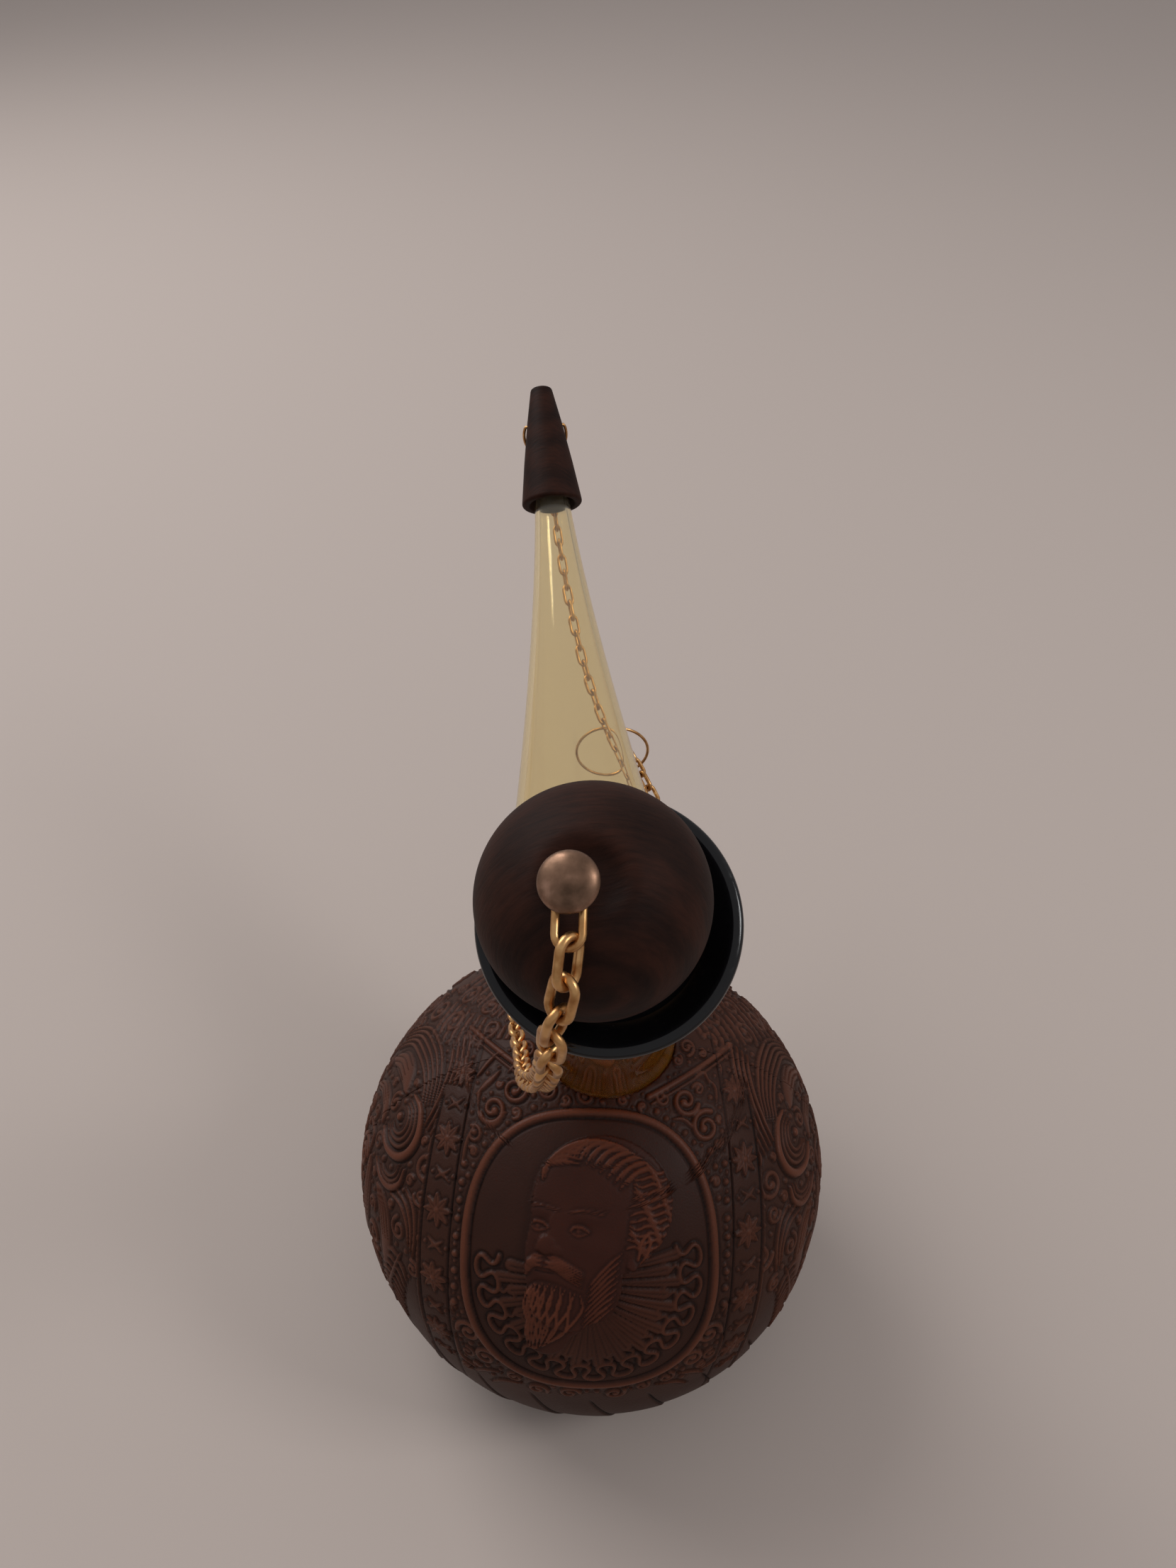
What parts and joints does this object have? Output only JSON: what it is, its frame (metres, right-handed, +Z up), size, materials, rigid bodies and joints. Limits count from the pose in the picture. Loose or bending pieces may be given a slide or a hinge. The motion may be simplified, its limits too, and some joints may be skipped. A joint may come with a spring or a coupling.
{
  "type": "porron",
  "caption": "Leather-covered glass porron with a leaning neck, a ball stopper, a long capped spout, and a chain that ties stopper and cap together",
  "frame": {"origin": "centre of the foot's underside, on the surface that the vessel stands on", "axes": "+Z up, +Y toward the spout, so that the neck leans toward -Y; +X to the right as seen from the neck's side"},
  "size_m": [0.1392, 0.2943, 0.288],
  "materials": {
    "amber_glass": "gloss",
    "black_collar": "gloss",
    "leather": "satin, tooled",
    "dark_wood": "matte",
    "cork": "matte",
    "tarnished_brass": "dull",
    "gold_chain": "gloss"
  },
  "bodies": {
    "vessel": {"glass_bowl": "amber_glass", "glass_shoulder": "amber_glass", "glass_neck": "amber_glass", "glass_spout": "amber_glass", "mouth_collar": "black_collar", "leather_front": "leather", "leather_back": "leather", "leather_base": "leather", "chain_front": "gold_chain", "chain_saddle": "gold_chain", "chain_back": "gold_chain"},
    "stopper": {"stopper_ball": "dark_wood", "stopper_cork": "cork", "stopper_nail": "tarnished_brass", "nail_link": "gold_chain"},
    "cap": {"cap": "dark_wood", "chain_tail": "gold_chain"},
    "cap_ring": {"cap_ring": "gold_chain"},
    "mid_ring": {"mid_ring": "gold_chain"}
  },
  "joints": [
    {"name": "stopper_lift", "type": "slide", "parent": "vessel", "child": "stopper", "axis": [-0.0366, -0.5087, 0.8602], "range_m": [0, 0.035], "deforming": ["chain_front"]},
    {"name": "cap_pull", "type": "slide", "parent": "vessel", "child": "cap", "axis": [-0.0489, 0.753, 0.6562], "range_m": [0, 0.045], "deforming": ["chain_back"]},
    {"name": "cap_ring_swing", "type": "hinge", "parent": "cap", "child": "cap_ring", "pos_m": [-0.00417, 0.17451, 0.21675], "axis": [0.9988, 0.0368, 0.0321], "range_deg": [-12, 90], "deforming": ["chain_tail"]},
    {"name": "mid_ring_swing", "type": "hinge", "parent": "vessel", "child": "mid_ring", "pos_m": [0.01453, 0.11211, 0.1373], "axis": [1, 0, 0], "range_deg": [-30, 30]}
  ]
}
